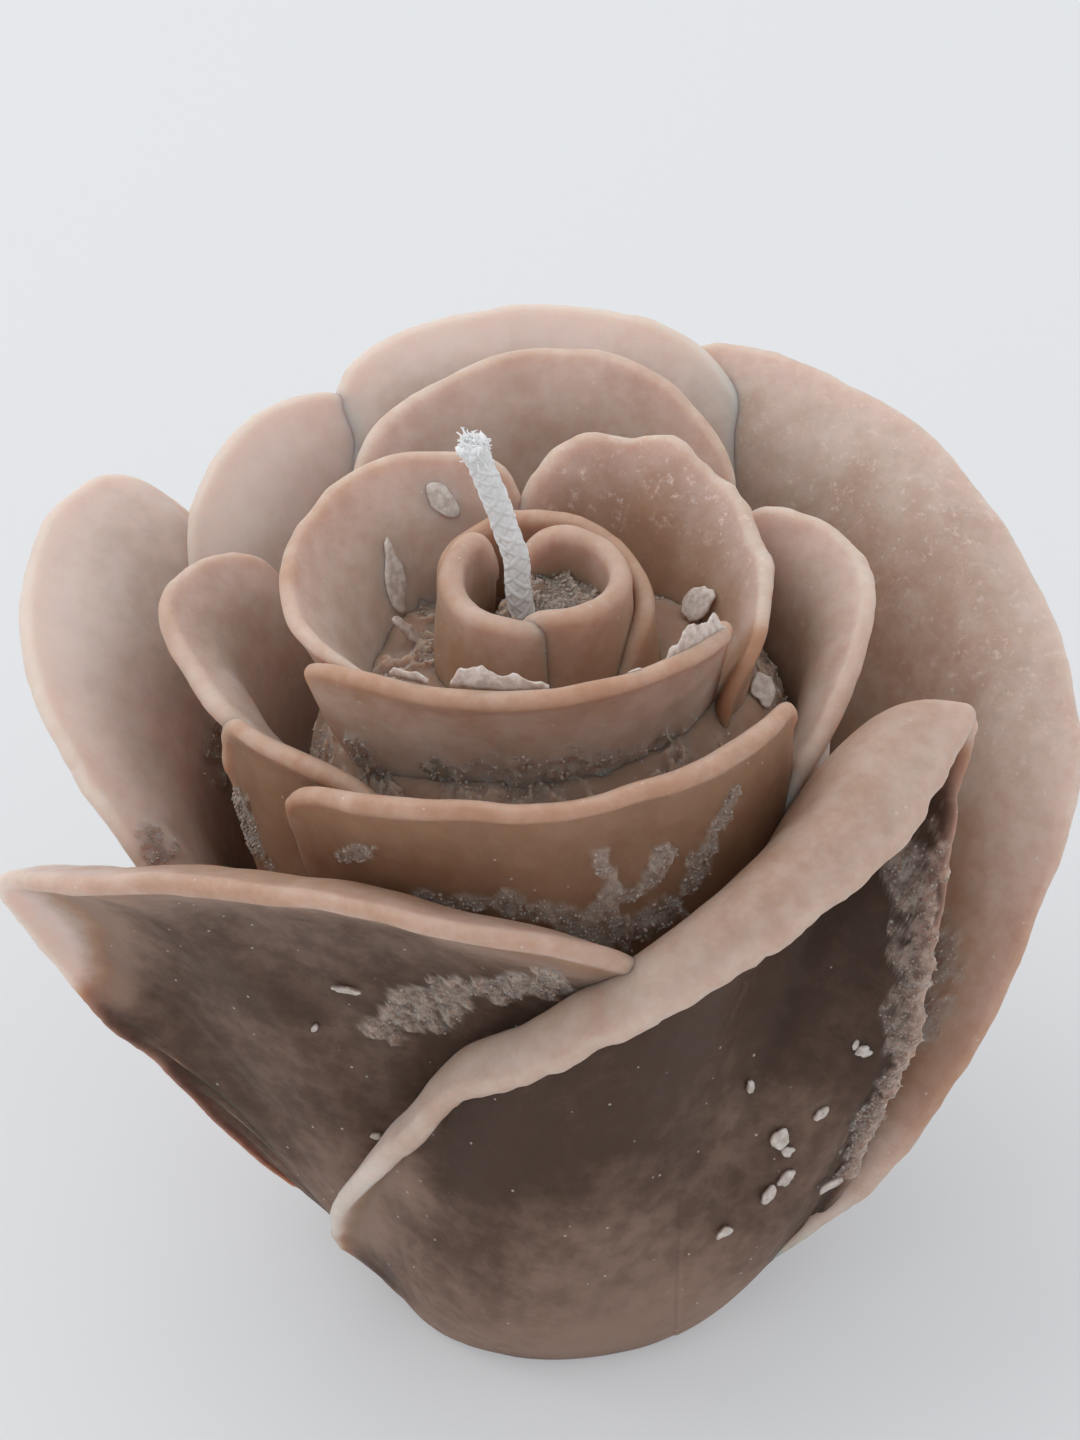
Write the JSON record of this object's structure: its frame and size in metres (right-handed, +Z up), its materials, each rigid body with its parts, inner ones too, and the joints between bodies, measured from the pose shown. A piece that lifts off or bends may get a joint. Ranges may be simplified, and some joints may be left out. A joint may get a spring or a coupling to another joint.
{
  "type": "rose candle",
  "caption": "Free-standing wax candle shaped as an open rose: layered petals round a tight bud on a flat-based wax heart, with a cotton wick.",
  "frame": {"origin": "middle of the flat base, at the height of the surface that the candle stands on", "axes": "+Z up through the bud; -Y towards the front, where the two big lapping petals are; +X to the right of the front view"},
  "size_m": [0.1016, 0.0851, 0.0949],
  "materials": {
    "heart_wax": "satin dusty brown-pink wax, deeper in the folds",
    "bud_petal_wax": "satin translucent wax, paler at the rims",
    "inner_petal_wax": "satin translucent wax, paler at the rims",
    "middle_petal_wax": "satin translucent wax, paler at the rims",
    "outer_petal_wax": "satin translucent wax, paler at the rims, with flakes and bloom",
    "wick_cotton": "braided white cotton, primed with wax"
  },
  "bodies": {
    "root": {"wax_core": "heart_wax", "bud_petal_left": "bud_petal_wax", "bud_petal_right": "bud_petal_wax", "bud_petal_back": "bud_petal_wax", "inner_petal_left": "inner_petal_wax", "inner_petal_back_right": "inner_petal_wax", "inner_petal_front": "inner_petal_wax", "middle_petal_back": "middle_petal_wax", "middle_petal_left": "middle_petal_wax", "middle_petal_front_left": "middle_petal_wax", "middle_petal_front": "middle_petal_wax", "middle_petal_right": "middle_petal_wax", "outer_petal_back": "outer_petal_wax", "outer_petal_back_left": "outer_petal_wax", "outer_petal_left": "outer_petal_wax", "outer_petal_front_left": "outer_petal_wax", "outer_petal_front_right": "outer_petal_wax", "outer_petal_right": "outer_petal_wax", "wick": "wick_cotton"}
  },
  "joints": []
}
